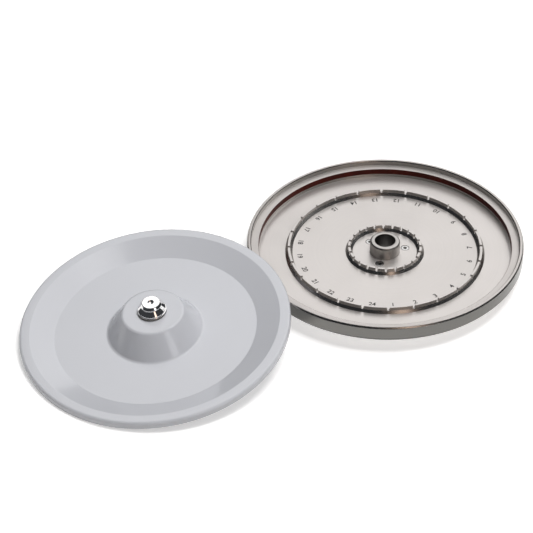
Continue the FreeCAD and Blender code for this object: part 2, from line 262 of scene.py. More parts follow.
class RotorLidSettings(bpy.types.PropertyGroup):
    """Sizes and colours of the lid and its knob."""

    crease_rounding: bpy.props.FloatProperty(
        name="Crease rounding", description="Rounding of the lid's inner creases",
        default=1.8 * MM, min=0.0, unit="LENGTH")
    dome_rounding: bpy.props.FloatProperty(
        name="Dome rounding", description="Rounding of the dome's upper edge",
        default=2.2 * MM, min=0.0, unit="LENGTH")
    foot_rounding: bpy.props.FloatProperty(
        name="Dome foot rounding", description="Rounding where the dome meets the plate",
        default=2.2 * MM, min=0.0, unit="LENGTH")
    skirt_rounding: bpy.props.FloatProperty(
        name="Skirt rounding", description="Rounding of the lid's outer upper edge",
        default=1.9 * MM, min=0.0, unit="LENGTH")
    head_rounding: bpy.props.FloatProperty(
        name="Knob rounding", description="Rounding of the knob's head",
        default=0.6 * MM, min=0.0, unit="LENGTH")
    plastic_colour: bpy.props.FloatVectorProperty(
        name="Plastic", description="Colour of the moulded lid",
        subtype="COLOR", default=(0.612, 0.628, 0.672), min=0.0, max=1.0)
    chrome_colour: bpy.props.FloatVectorProperty(
        name="Chrome", description="Colour of the knob's plating",
        subtype="COLOR", default=(0.94, 0.93, 0.93), min=0.0, max=1.0)


class RotorStageSettings(bpy.types.PropertyGroup):
    """Colours and strengths of the floor, the surroundings and the lamps."""

    floor_colour: bpy.props.FloatVectorProperty(
        name="Floor", description="Colour of the floor under the rotor",
        subtype="COLOR", default=(0.80, 0.80, 0.80), min=0.0, max=1.0)
    walls_colour: bpy.props.FloatVectorProperty(
        name="Studio walls", description="Colour of the dark walls that the metal mirrors",
        subtype="COLOR", default=(0.032, 0.034, 0.038), min=0.0, max=1.0)
    surround_strength: bpy.props.FloatProperty(
        name="Surround", description="Strength of the weak light from all round",
        default=0.09, min=0.0)
    opening_strength: bpy.props.FloatProperty(
        name="Opening", description="Brightness of the round opening that the metal mirrors",
        default=1.3, min=0.0)
    key_power: bpy.props.FloatProperty(
        name="Key lamp", description="Power of the large lamp overhead",
        default=45.0, min=0.0, unit="POWER")


# Modelling


def select_only(piece):
    """Make this the one selected and active object."""
    bpy.ops.object.select_all(action="DESELECT")
    piece.select_set(True)
    bpy.context.view_layer.objects.active = piece


def select_vertices(piece, places):
    """In edit mode, select the vertices that lie at these places."""
    bpy.ops.mesh.select_all(action="DESELECT")
    mesh = bmesh.from_edit_mesh(piece.data)
    for vertex in mesh.verts:
        if any((vertex.co - place).length < SAME_PLACE for place in places):
            vertex.select = True
    mesh.select_flush(True)
    bmesh.update_edit_mesh(piece.data)


def draw_outline(name, corners):
    """A new object, left in edit mode, that holds an outline of (radius, height, rounding).

    It is closed unless it starts on the axis.
    """
    places = [Vector((radius, 0, height)) for radius, height, _ in corners]
    bpy.ops.object.select_all(action="DESELECT")
    bpy.ops.mesh.primitive_plane_add(size=MM)
    piece = bpy.context.object
    piece.name = name
    piece.data.name = name
    bpy.ops.object.mode_set(mode="EDIT")
    bpy.ops.mesh.select_all(action="SELECT")
    bpy.ops.mesh.merge(type="CENTER")
    bpy.ops.transform.translate(value=places[0])
    for here, there in zip(places, places[1:]):
        bpy.ops.mesh.extrude_vertices_move(TRANSFORM_OT_translate={"value": there - here})
    if places[0].x > 0:
        select_vertices(piece, [places[0], places[-1]])
        bpy.ops.mesh.edge_face_add()
    for i, (_, _, rounding) in enumerate(corners):
        if rounding > 0:
            back = places[i - 1] - places[i]
            ahead = places[(i + 1) % len(places)] - places[i]
            half = back.angle(ahead) / 2
            facet = FACET_LARGE if rounding >= LARGE_ROUNDING else FACET_SMALL
            select_vertices(piece, [places[i]])
            bpy.ops.mesh.bevel(offset_type="OFFSET", offset=rounding / math.tan(half), affect="VERTICES",
                               segments=max(2, round((math.pi - 2 * half) / facet)), clamp_overlap=False)
    return piece


def spin_outline(name, corners, steps):
    """A new turned solid about Z from its outline."""
    piece = draw_outline(name, corners)
    bpy.ops.mesh.select_all(action="SELECT")
    bpy.ops.mesh.spin(steps=steps, angle=math.tau, center=CENTRE, axis=UP)
    bpy.ops.mesh.select_all(action="SELECT")
    bpy.ops.mesh.remove_doubles(threshold=SAME_PLACE)
    bpy.ops.mesh.normals_make_consistent(inside=False)
    bpy.ops.object.mode_set(mode="OBJECT")
    return piece


def sharp(*points):
    """Corners at these radii and heights that stay sharp."""
    return [(radius, height, 0.0) for radius, height in points]


def apply_modifier(piece, kind, **settings):
    """Add one modifier with these settings and apply it."""
    select_only(piece)
    bpy.ops.object.modifier_add(type=kind)
    modifier = piece.modifiers[-1]
    for name, value in settings.items():
        setattr(modifier, name, value)
    bpy.ops.object.modifier_apply(modifier=modifier.name)


def turned_copy(piece, angle):
    """A copy of the piece with a mesh of its own, turned about Z."""
    copy = piece.copy()
    copy.data = piece.data.copy()
    copy.data.transform(Matrix.Rotation(angle, 4, "Z"))
    bpy.context.collection.objects.link(copy)
    return copy


def join(pieces):
    """Make one object of these."""
    bpy.ops.object.select_all(action="DESELECT")
    for piece in pieces:
        piece.select_set(True)
    bpy.context.view_layer.objects.active = pieces[0]
    bpy.ops.object.join()
    return bpy.context.object


def turned_copies(piece, count, first, pitch):
    """Join so many copies of the piece, turned about Z, into one object in its place."""
    copies = [turned_copy(piece, first + i * pitch) for i in range(count)]
    bpy.data.objects.remove(piece)
    return join(copies)


def cut(piece, cutter):
    """Cut one piece with another, which is used up."""
    apply_modifier(piece, "BOOLEAN", operation="DIFFERENCE", solver="EXACT", object=cutter)
    bpy.data.objects.remove(cutter)


def settle(piece):
    """Take the piece's place, turn and scale into its mesh."""
    select_only(piece)
    bpy.ops.object.transform_apply(location=True, rotation=True, scale=True)


def place_in_lid(piece):
    """Move a piece that was made about Z to its place in the lid."""
    piece.matrix_world = LID_PLACE
    settle(piece)


def finish_piece(piece, body, node, slot, *materials):
    """Smooth a piece, give it its materials and let it stand for its node."""
    select_only(piece)
    bpy.ops.object.shade_smooth_by_angle(angle=SMOOTH_ANGLE)
    apply_modifier(piece, "WEIGHTED_NORMAL", keep_sharp=True, weight=100)
    piece.data.materials.clear()
    for material in materials:
        piece.data.materials.append(material)
    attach(piece, body)
    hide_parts(node)


# Materials


def add_node(tree, kind, inputs=None, **settings):
    """A node with its settings and the values of its unlinked inputs."""
    node = tree.nodes.new(kind)
    for name, value in settings.items():
        setattr(node, name, value)
    for name, value in (inputs or {}).items():
        node.inputs[name].default_value = value
    return node


def new_group(name, inputs, outputs):
    """A shader node group with its sockets, and its two end nodes."""
    tree = bpy.data.node_groups.new(name, "ShaderNodeTree")
    for label, kind in inputs:
        tree.interface.new_socket(label, in_out="INPUT", socket_type=kind)
    for label, kind in outputs:
        tree.interface.new_socket(label, in_out="OUTPUT", socket_type=kind)
    return tree, tree.nodes.new("NodeGroupInput"), tree.nodes.new("NodeGroupOutput")


def turning_marks_group():
    """Fine lines that run round an axis, as a turning tool leaves them."""
    if "turning_marks" in bpy.data.node_groups:
        return bpy.data.node_groups["turning_marks"]
    tree, start, end = new_group(
        "turning_marks",
        [("Vector", "NodeSocketVector"), ("Pitch", "NodeSocketFloat")],
        [("Line", "NodeSocketFloat"), ("Band", "NodeSocketFloat"), ("Radius", "NodeSocketFloat")])
    split = add_node(tree, "ShaderNodeSeparateXYZ")
    flat = add_node(tree, "ShaderNodeCombineXYZ")
    radius = add_node(tree, "ShaderNodeVectorMath", operation="LENGTH")
    across = add_node(tree, "ShaderNodeCombineXYZ")
    fine = add_node(tree, "ShaderNodeVectorMath", operation="SCALE")
    broad = add_node(tree, "ShaderNodeVectorMath", {"Scale": 0.12}, operation="SCALE")
    line = add_node(tree, "ShaderNodeTexNoise", {"Scale": 1.0, "Detail": 2.0}, noise_dimensions="2D")
    band = add_node(tree, "ShaderNodeTexNoise", {"Scale": 1.0, "Detail": 1.0}, noise_dimensions="2D")
    link = tree.links.new
    link(start.outputs["Vector"], split.inputs[0])
    link(split.outputs["X"], flat.inputs["X"])
    link(split.outputs["Y"], flat.inputs["Y"])
    link(flat.outputs[0], radius.inputs[0])
    link(radius.outputs["Value"], across.inputs["X"])
    link(split.outputs["Z"], across.inputs["Y"])
    link(across.outputs[0], fine.inputs[0])
    link(start.outputs["Pitch"], fine.inputs["Scale"])
    link(fine.outputs[0], broad.inputs[0])
    link(fine.outputs[0], line.inputs["Vector"])
    link(broad.outputs[0], band.inputs["Vector"])
    link(line.outputs["Fac"], end.inputs["Line"])
    link(band.outputs["Fac"], end.inputs["Band"])
    link(radius.outputs["Value"], end.inputs["Radius"])
    return tree


def handling_marks_group():
    """Faint smudges and patches that handling leaves, as a mask."""
    if "handling_marks" in bpy.data.node_groups:
        return bpy.data.node_groups["handling_marks"]
    tree, start, end = new_group(
        "handling_marks",
        [("Vector", "NodeSocketVector"), ("Size", "NodeSocketFloat")],
        [("Mask", "NodeSocketFloat"), ("Grain", "NodeSocketFloat")])
    smudge = add_node(tree, "ShaderNodeTexNoise", {"Detail": 4.0, "Roughness": 0.6})
    spread = add_node(tree, "ShaderNodeMapRange", {"From Min": 0.4, "From Max": 0.75},
                      interpolation_type="SMOOTHSTEP")
    finer = add_node(tree, "ShaderNodeMath", {1: 14.0}, operation="MULTIPLY")
    grain = add_node(tree, "ShaderNodeTexNoise", {"Detail": 3.0})
    link = tree.links.new
    link(start.outputs["Vector"], smudge.inputs["Vector"])
    link(start.outputs["Size"], smudge.inputs["Scale"])
    link(smudge.outputs["Fac"], spread.inputs["Value"])
    link(start.outputs["Size"], finer.inputs[0])
    link(start.outputs["Vector"], grain.inputs["Vector"])
    link(finer.outputs[0], grain.inputs["Scale"])
    link(spread.outputs[0], end.inputs["Mask"])
    link(grain.outputs["Fac"], end.inputs["Grain"])
    return tree


def add_group(tree, group, **inputs):
    """A node that places a group with its own values."""
    node = add_node(tree, "ShaderNodeGroup")
    node.node_tree = group
    for name, value in inputs.items():
        node.inputs[name].default_value = value
    return node


def shifted(tree, factor, low, high):
    """A value that runs from low to high as the factor runs from 0 to 1."""
    ramp = add_node(tree, "ShaderNodeMapRange", {"To Min": low, "To Max": high})
    tree.links.new(factor, ramp.inputs["Value"])
    return ramp.outputs[0]


def tinted(tree, factor, first, second):
    """A colour that runs from the first to the second with the factor."""
    mix = add_node(tree, "ShaderNodeMix", {"A": (*first, 1.0), "B": (*second, 1.0)},
                   data_type="RGBA")
    tree.links.new(factor, mix.inputs["Factor"])
    return mix.outputs["Result"]


def shade(colour, share):
    """The colour made darker or lighter by a share of itself."""
    return tuple(min(1.0, part * share) for part in colour)


def start_material(name, surface, in_lid=False):
    """A material with its surface shader and the coordinates of the pan or the lid."""
    material = bpy.data.materials.new(name)
    material.use_nodes = True
    tree = material.node_tree
    shader = tree.nodes["Principled BSDF"]
    for label, value in surface.items():
        shader.inputs[label].default_value = value
    place = add_node(tree, "ShaderNodeTexCoord").outputs["Object"]
    if in_lid:
        mapping = add_node(tree, "ShaderNodeMapping",
                           {"Location": LID_CENTRE, "Rotation": LID_TURN.to_euler()}, vector_type="TEXTURE")
        tree.links.new(place, mapping.inputs["Vector"])
        place = mapping.outputs[0]
    return material, tree, shader, place


def turned_metal(name, colour, roughness, pitch, relief, in_lid=False, metallic=1.0, finish=()):
    """Metal with fine turning marks: slight changes of shade, gloss and relief round its axis.

    The finish lists radii, and how much rougher than before the metal is beyond each of them.
    """
    material, tree, shader, place = start_material(name, {"Metallic": metallic}, in_lid)
    marks = add_group(tree, turning_marks_group(), Pitch=pitch)
    wear = add_group(tree, handling_marks_group(), Size=28.0)
    link = tree.links.new
    link(place, marks.inputs["Vector"])
    link(place, wear.inputs["Vector"])
    both = add_node(tree, "ShaderNodeMix", {"Factor": 0.4}, data_type="FLOAT")
    link(marks.outputs["Line"], both.inputs["A"])
    link(marks.outputs["Band"], both.inputs["B"])
    base = tinted(tree, both.outputs["Result"], shade(colour, 0.95), shade(colour, 1.05))
    link(base, shader.inputs["Base Color"])
    gloss = add_node(tree, "ShaderNodeMix", {"Factor": 0.3}, data_type="FLOAT")
    link(marks.outputs["Line"], gloss.inputs["A"])
    link(wear.outputs["Mask"], gloss.inputs["B"])
    level = shifted(tree, gloss.outputs["Result"], roughness * 0.8, roughness * 1.25)
    for radius, share in finish:
        beyond = add_node(tree, "ShaderNodeMapRange",
                          {"From Min": radius - MM, "From Max": radius, "To Min": 1.0, "To Max": share})
        scaled = add_node(tree, "ShaderNodeMath", operation="MULTIPLY")
        link(marks.outputs["Radius"], beyond.inputs["Value"])
        link(level, scaled.inputs[0])
        link(beyond.outputs[0], scaled.inputs[1])
        level = scaled.outputs[0]
    link(level, shader.inputs["Roughness"])
    bump = add_node(tree, "ShaderNodeBump", {"Strength": relief, "Distance": 0.02 * MM})
    link(marks.outputs["Line"], bump.inputs["Height"])
    link(bump.outputs["Normal"], shader.inputs["Normal"])
    return material


def strip_silicone(colour):
    """Dull red-brown silicone with faint dust."""
    material, tree, shader, place = start_material("strip_silicone", {"IOR": 1.3})
    wear = add_group(tree, handling_marks_group(), Size=60.0)
    link = tree.links.new
    link(place, wear.inputs["Vector"])
    link(tinted(tree, wear.outputs["Mask"], colour, shade(colour, 1.6)), shader.inputs["Base Color"])
    link(shifted(tree, wear.outputs["Grain"], 0.42, 0.6), shader.inputs["Roughness"])
    bump = add_node(tree, "ShaderNodeBump", {"Strength": 0.2, "Distance": 0.03 * MM})
    link(wear.outputs["Grain"], bump.inputs["Height"])
    link(bump.outputs["Normal"], shader.inputs["Normal"])
    return material


def number_ink(colour):
    """Dark printed ink, a little thin in places."""
    material, tree, shader, place = start_material("number_ink", {})
    wear = add_group(tree, handling_marks_group(), Size=300.0)
    link = tree.links.new
    link(place, wear.inputs["Vector"])
    link(tinted(tree, wear.outputs["Mask"], colour, shade(colour, 1.9)), shader.inputs["Base Color"])
    link(shifted(tree, wear.outputs["Grain"], 0.5, 0.7), shader.inputs["Roughness"])
    return material


def lid_plastic(colour):
    """Pale moulded plastic, half gloss, with a very fine skin."""
    material, tree, shader, place = start_material("lid_plastic", {"IOR": 1.7}, in_lid=True)
    wear = add_group(tree, handling_marks_group(), Size=16.0)
    skin = add_node(tree, "ShaderNodeTexNoise", {"Scale": 900.0, "Detail": 2.0})
    link = tree.links.new
    link(place, wear.inputs["Vector"])
    link(place, skin.inputs["Vector"])
    link(tinted(tree, wear.outputs["Mask"], colour, shade(colour, 0.99)), shader.inputs["Base Color"])
    link(shifted(tree, wear.outputs["Mask"], 0.13, 0.15), shader.inputs["Roughness"])
    bump = add_node(tree, "ShaderNodeBump", {"Strength": 0.02, "Distance": 0.02 * MM})
    link(skin.outputs["Fac"], bump.inputs["Height"])
    link(bump.outputs["Normal"], shader.inputs["Normal"])
    return material


def knob_chrome(colour):
    """Bright plating with the faintest smudges."""
    material, tree, shader, place = start_material("knob_chrome", {"Metallic": 1.0}, in_lid=True)
    wear = add_group(tree, handling_marks_group(), Size=120.0)
    link = tree.links.new
    link(place, wear.inputs["Vector"])
    link(tinted(tree, wear.outputs["Mask"], colour, shade(colour, 0.95)), shader.inputs["Base Color"])
    link(shifted(tree, wear.outputs["Mask"], 0.05, 0.1), shader.inputs["Roughness"])
    return material


# The pieces


class RotorOperator:
    """What every operator here shares."""

    bl_options = {"REGISTER", "UNDO"}


class ROTOR_OT_pan(RotorOperator, bpy.types.Operator):
    """Turn the pan with its rim, ledge and rings, and cut its slots and screw holes"""

    bl_idname = "rotor.pan"
    bl_label = "Pan"

    def execute(self, context):
        settings = context.scene.rotor_pan
        edge = settings.edge_rounding
        foot = settings.foot_bevel
        bore = HUB_RADIUS + HUB_FIT
        corners = [(bore, UNDERSIDE, 0), (PAN_RADIUS - LOWER_BEVEL_WIDTH, UNDERSIDE, edge),
                   (PAN_RADIUS, UNDERSIDE + LOWER_BEVEL, edge),
                   (PAN_RADIUS, RIM_TOP - RIM_BEVEL, settings.rim_rounding),
                   (PAN_RADIUS - RIM_BEVEL, RIM_TOP, settings.rim_rounding),
                   (RECESS_RADIUS + RIM_INNER_BEVEL, RIM_TOP, edge),
                   (RECESS_RADIUS, RIM_TOP - RIM_INNER_BEVEL, edge),
                   (RECESS_RADIUS, LEDGE, edge), (LEDGE_RADIUS, LEDGE, edge / 2)]
        corners += sharp((LEDGE_RADIUS, SEAT_TOP), (SEAT_RADIUS, SEAT_TOP),
                         (SEAT_RADIUS, CUSHION_FOOT), (LEDGE_RADIUS, CUSHION_FOOT), (LEDGE_RADIUS, FLOOR))
        for radius in (OUTER_RING_RADIUS, INNER_RING_RADIUS):
            inner = radius - RING_WALL
            corners += sharp((radius + foot, FLOOR), (radius, FLOOR + foot))
            corners += [(radius, RING_TOP, edge), (inner, RING_TOP, edge)]
            corners += sharp((inner, FLOOR + foot), (inner - foot, FLOOR))
        corners += sharp((bore, FLOOR))
        pan = spin_outline("pan", corners, STEPS_ROUND_PAN)
        cut(pan, turned_copies(slot_cutter(), SLOT_COUNT, FIRST_SLOT, SLOT_PITCH))
        hole = screw_head("hole", SCREW_CLEARANCE, FLOOR, UNDERSIDE - MM)
        cut(pan, turned_copies(hole, SCREW_COUNT, FIRST_SCREW, SCREW_PITCH))
        # Painted shade: the outer wall and its lower bevel take darkened copies of the metal's colour
        wall = settings.wall_shade_colour
        finish_piece(pan, "rotor", "rotor_pan", "pan_metal",
                     turned_metal("pan_metal", settings.metal_colour, 0.38, 5200.0, 0.9, metallic=0.76,
                                  finish=((LEDGE_RADIUS, 1.3),)),
                     # Painted shade: steep faces take the darker copy of the metal's colour
                     turned_metal("pan_steep_shaded_metal", settings.shaded_metal_colour, 0.24, 3400.0, 0.1),
                     turned_metal("pan_wall_shaded_metal", wall, 0.2, 3400.0, 0.15),
                     # Painted shadow: a near-black copy of the wall's colour for the lower bevel
                     turned_metal("pan_foot_shadow_metal", shade(wall, 0.3), 0.4, 3400.0, 0.3))
        paint_shade_on_steep_faces(pan)
        return {"FINISHED"}


def slot_cutter():
    """A bar with a round underside that reaches across both rings."""
    start = INNER_RING_RADIUS - RING_WALL - MM
    length = OUTER_RING_RADIUS + MM - start
    bottom = RING_TOP - SLOT_DEPTH
    bpy.ops.object.select_all(action="DESELECT")
    bpy.ops.mesh.primitive_cube_add(size=1, scale=(length, SLOT_WIDTH, 2 * SLOT_DEPTH),
                                    location=(start + length / 2, 0, bottom + SLOT_DEPTH))
    bar = bpy.context.object
    settle(bar)
    bpy.ops.object.mode_set(mode="EDIT")
    bpy.ops.mesh.select_all(action="DESELECT")
    mesh = bmesh.from_edit_mesh(bar.data)
    for edge in mesh.edges:
        low = all(vertex.co.z < RING_TOP - SLOT_DEPTH / 2 for vertex in edge.verts)
        along = abs(edge.verts[0].co.x - edge.verts[1].co.x) > length / 2
        edge.select = low and along
    bmesh.update_edit_mesh(bar.data)
    bpy.ops.mesh.bevel(offset_type="OFFSET", offset=SLOT_ROUNDING, segments=SLOT_SEGMENTS, affect="EDGES")
    bpy.ops.object.mode_set(mode="OBJECT")
    return bar


def screw_head(name, clearance, top, bottom, edge=0.0):
    """A countersunk head on its shank, or the hole that takes it, at its distance from the axis."""
    head = SCREW_HEAD_RADIUS + clearance
    shank = SCREW_RADIUS + clearance
    corners = sharp((0, bottom), (shank, bottom), (shank, top - head + shank))
    corners += [(head, top, edge), (0, top, 0)]
    piece = spin_outline(name, corners, STEPS_ROUND_SMALL)
    piece.data.transform(Matrix.Translation((SCREW_CIRCLE_RADIUS, 0, 0)))
    return piece


def paint_shade_on_steep_faces(pan):
    """Give steep faces a smoother cut than level ones and a darker colour as painted shade, and the outer
    wall and its foot their own painted shade.
    """
    for face in pan.data.polygons:
        radius, lean = face.center.xy.length, face.normal.z
        # Painted shadow: the downward bevel at the outer wall's foot gets a near-black copy of the wall's
        # colour
        if radius > PAN_RADIUS - LOWER_BEVEL_WIDTH and -NEARLY_LEVEL < lean < -LEANING:
            face.material_index = PAN_FOOT_SHADOW
        elif radius > PAN_RADIUS - RIM_BEVEL / 2 and abs(lean) < UPRIGHT:
            face.material_index = PAN_WALL_SHADED
        elif abs(lean) < NEARLY_LEVEL and not in_slot(face):
            face.material_index = PAN_STEEP_SHADED


def in_slot(face):
    """Whether this is the round bottom of a slot, between the two faces of a ring."""
    radius = face.center.xy.length
    inside = any(ring - RING_WALL < radius < ring for ring in (OUTER_RING_RADIUS, INNER_RING_RADIUS))
    return inside and face.normal.z > FACING_UP and face.center.z < RING_TOP - SLOT_DEPTH / 2


class ROTOR_OT_numbers(RotorOperator, bpy.types.Operator):
    """Print the numbers of the slots on the pan's floor"""

    bl_idname = "rotor.numbers"
    bl_label = "Numbers"

    def execute(self, context):
        settings = context.scene.rotor_pan
        numbers = []
        for i in range(SLOT_COUNT):
            text = str(i + 1)
            angle = FIRST_SLOT + i * SLOT_PITCH + NUMBER_LEAD + len(text) * DIGIT_HALF
            x, y = NUMBER_RADIUS * math.cos(angle), NUMBER_RADIUS * math.sin(angle)
            bpy.ops.object.select_all(action="DESELECT")
            bpy.ops.object.text_add(location=(x, y, FLOOR + NUMBER_THICKNESS),
                                    rotation=(0, 0, angle + math.pi / 2))
            number = bpy.context.object
            number.data.body = text
            number.data.size = settings.number_size
            number.data.align_x = "CENTER"
            number.data.align_y = "CENTER"
            number.data.extrude = NUMBER_THICKNESS / 2
            number.data.resolution_u = 6
            number.data.offset = NUMBER_BOLDNESS
            bpy.ops.object.convert(target="MESH")
            settle(bpy.context.object)
            numbers.append(bpy.context.object)
        printed = join(numbers)
        printed.name = "slot_numbers"
        printed.data.materials.append(number_ink(settings.number_colour))
        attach(printed, "rotor")
        return {"FINISHED"}


class ROTOR_OT_strip(RotorOperator, bpy.types.Operator):
    """Form the silicone strip in the pan's wall"""

    bl_idname = "rotor.strip"
    bl_label = "Silicone strip"

    def execute(self, context):
        colour = context.scene.rotor_pan.strip_colour
        front = LEDGE_RADIUS - STRIP_SWELL
        face = LEDGE_RADIUS - CUSHION_GAP
        low, high = CUSHION_FOOT - STRIP_COVER, CUSHION_TOP + STRIP_COVER
        strip = spin_outline("silicone_strip", [
            (front, low, STRIP_EDGE), (face, low, 0), (face, CUSHION_FOOT, 0),
            (CUSHION_BACK, CUSHION_FOOT, 0), (CUSHION_BACK, CUSHION_TOP, 0),
            (face, CUSHION_TOP, 0), (face, high, 0), (front, high, STRIP_EDGE)], STEPS_ROUND_PAN)
        finish_piece(strip, "rotor", "cushion_ring", "cushion_silicone", strip_silicone(colour))
        return {"FINISHED"}


class ROTOR_OT_hub(RotorOperator, bpy.types.Operator):
    """Turn the hub that the pan is screwed to"""

    bl_idname = "rotor.hub"
    bl_label = "Hub"

    def execute(self, context):
        # Painted shade: the hub takes the darker copy of the metal's colour that the pan's steep faces have
        colour = context.scene.rotor_pan.shaded_metal_colour
        hub = spin_outline("hub_boss", [
            (BORE_RADIUS, 0, HUB_EDGE), (BASE_RADIUS, 0, HUB_EDGE),
            (BASE_RADIUS, BASE_HEIGHT, HUB_EDGE / 2), (FLANGE_RADIUS, BASE_HEIGHT, HUB_EDGE),
            (FLANGE_RADIUS, UNDERSIDE, HUB_EDGE / 2),
            (HUB_RADIUS, UNDERSIDE, 0), (HUB_RADIUS, HUB_TOP, HUB_TOP_ROUNDING),
            (BORE_RADIUS, HUB_TOP, HUB_EDGE)], STEPS_ROUND_HUB)
        hole = screw_head("hole", SCREW_CLEARANCE, FLOOR, SCREW_END - MM)
        cut(hub, turned_copies(hole, SCREW_COUNT, FIRST_SCREW, SCREW_PITCH))
        finish_piece(hub, "rotor", "hub", "hub_metal",
                     turned_metal("hub_metal", colour, 0.34, 3000.0, 0.3),
                     turned_metal("bore_shadow_metal", BORE_SHADE_COLOUR, 0.4, 3000.0, 0.2))
        # Painted shade: the bore's faces take the dark colour
        for face in hub.data.polygons:
            if face.center.xy.length < BORE_RADIUS + HUB_EDGE / 2:
                face.material_index = 1
        return {"FINISHED"}


class ROTOR_OT_screws(RotorOperator, bpy.types.Operator):
    """Make the three countersunk screws, modelled once and copied"""

    bl_idname = "rotor.screws"
    bl_label = "Hub screws"

    def execute(self, context):
        screw = screw_head("screw", 0, SCREW_TOP, SCREW_END, SCREW_HEAD_EDGE)
        bpy.ops.object.select_all(action="DESELECT")
        bpy.ops.mesh.primitive_cylinder_add(
            vertices=6, radius=SCREW_SOCKET_RADIUS, depth=2 * SCREW_SOCKET_DEPTH,
            location=(SCREW_CIRCLE_RADIUS, 0, SCREW_TOP))
        cut(screw, bpy.context.object)
        metal = turned_metal("screw_steel", SCREW_COLOUR, 0.25, 5000.0, 0.1)
        for i in range(SCREW_COUNT):
            copy = turned_copy(screw, FIRST_SCREW + i * SCREW_PITCH)
            copy.name = "flange_screw_%d" % (i + 1)
            finish_piece(copy, "rotor", "hub_screw_%d" % (i + 1), "screw_steel", metal)
        bpy.data.objects.remove(screw)
        return {"FINISHED"}


def offset_line(line, distance):
    """An open run of points moved sideways by a wall's thickness, with mitred corners."""
    moved = []
    for i, (radius, height) in enumerate(line):
        runs = [Vector(line[j + 1]) - Vector(line[j]) for j in (i - 1, i) if 0 <= j < len(line) - 1]
        normals = [Vector((run.y, -run.x)).normalized() for run in runs]
        middle = sum(normals, Vector((0, 0))).normalized()
        moved.append(Vector((radius, height)) + middle * (distance / middle.dot(normals[0])))
    return [tuple(point) for point in moved]


class ROTOR_OT_lid(RotorOperator, bpy.types.Operator):
    """Turn the moulded lid with its dome, plate, cone, lip and skirt"""

    bl_idname = "rotor.lid"
    bl_label = "Lid"

    def execute(self, context):
        settings = context.scene.rotor_lid
        crease = settings.crease_rounding
        top = [(BUSH_NECK_RADIUS, DOME_TOP), (DOME_TOP_RADIUS, DOME_TOP), (DOME_BASE_RADIUS, PLATE_TOP),
               (PLATE_RADIUS, PLATE_TOP), (LIP_INNER_RADIUS, LIP_HEIGHT), (LID_RADIUS, LIP_HEIGHT)]
        under = offset_line(top, LID_WALL)
        inner_skirt = LID_RADIUS - SKIRT_WALL
        roundings = (0, settings.dome_rounding, settings.foot_rounding, crease, crease,
                     settings.skirt_rounding)
        corners = [(*point, rounding) for point, rounding in zip(top, roundings)]
        corners += [(LID_RADIUS, 0, SKIRT_FOOT_EDGE), (inner_skirt, 0, SKIRT_INNER_EDGE),
                    (inner_skirt, LIP_HEIGHT - LID_WALL, SKIRT_INNER_EDGE)]
        corners += [(*point, crease / 2) for point in reversed(under[1:-1])]
        corners += sharp((BUSH_NECK_RADIUS, DOME_CEILING))
        lid = spin_outline("lid_moulding", corners, STEPS_ROUND_LID)
        place_in_lid(lid)
        finish_piece(lid, "rotor", "lid_shell", "lid_plastic", lid_plastic(settings.plastic_colour))
        return {"FINISHED"}


class ROTOR_OT_bush(RotorOperator, bpy.types.Operator):
    """Turn the bush that carries the stud under the dome"""

    bl_idname = "rotor.bush"
    bl_label = "Bush"

    def execute(self, context):
        bore = STUD_RADIUS + STUD_FIT
        bush = spin_outline("stud_bush", [
            (bore, SPIGOT_END, 0), (SPIGOT_RADIUS, SPIGOT_END, BUSH_EDGE),
            (SPIGOT_RADIUS, BUSH_SHOULDER, 0), (BUSH_BODY_RADIUS, BUSH_SHOULDER, BUSH_EDGE),
            (BUSH_BODY_RADIUS, BUSH_FLANGE_FOOT, 0),
            (BUSH_RADIUS, BUSH_FLANGE_FOOT, BUSH_EDGE), (BUSH_RADIUS, DOME_CEILING, 0),
            (BUSH_NECK_RADIUS, DOME_CEILING, 0), (BUSH_NECK_RADIUS, BUSH_TOP, 0), (bore, BUSH_TOP, 0)],
            STEPS_ROUND_SMALL)
        place_in_lid(bush)
        finish_piece(bush, "rotor", "lid_bush", "bush_metal",
                     turned_metal("bush_metal", BUSH_COLOUR, 0.3, 2600.0, 0.2, in_lid=True))
        return {"FINISHED"}


class ROTOR_OT_knob(RotorOperator, bpy.types.Operator):
    """Turn the chromed knob with its flange, neck and dimpled head"""

    bl_idname = "rotor.knob"
    bl_label = "Knob"

    def execute(self, context):
        settings = context.scene.rotor_lid
        edge = KNOB_EDGE
        knob = spin_outline("chromed_knob", [
            (0, STUD_TOP, 0), (STUD_RADIUS, STUD_TOP, 0), (STUD_RADIUS, KNOB_FOOT, 0),
            (KNOB_RADIUS, KNOB_FOOT, edge), (KNOB_RADIUS, KNOB_FLANGE_TOP, edge / 2),
            (KNOB_FLANK_RADIUS, KNOB_FLANGE_TOP, 0), (KNOB_FLANK_RADIUS, KNOB_CONE_FOOT, edge),
            (KNOB_NECK_RADIUS, KNOB_NECK_TOP, 0), (KNOB_NECK_RADIUS, KNOB_HEAD_FOOT, 0),
            (KNOB_HEAD_RADIUS, KNOB_SHOULDER, edge),
            (KNOB_CROWN_RADIUS, KNOB_TOP, settings.head_rounding), (DIMPLE_RADIUS, KNOB_TOP, edge / 2),
            (DIMPLE_FLOOR_RADIUS, DIMPLE_FLOOR, DIMPLE_DEPTH / 2),
            (0, KNOB_TOP - DIMPLE_DEPTH, 0)], STEPS_ROUND_SMALL)
        # Painted shade: the flange's faces take the darkened colour
        flange = [face.index for face in knob.data.polygons if face.center.z < KNOB_FLANGE_TOP - edge / 2]
        place_in_lid(knob)
        finish_piece(knob, "knob", "lid_knob", "knob_chrome", knob_chrome(settings.chrome_colour),
                     turned_metal("knob_flange_shaded_metal", KNOB_FLANGE_SHADE_COLOUR, 0.3, 4000.0, 0.2, in_lid=True))
        for index in flange:
            knob.data.polygons[index].material_index = 1
        return {"FINISHED"}


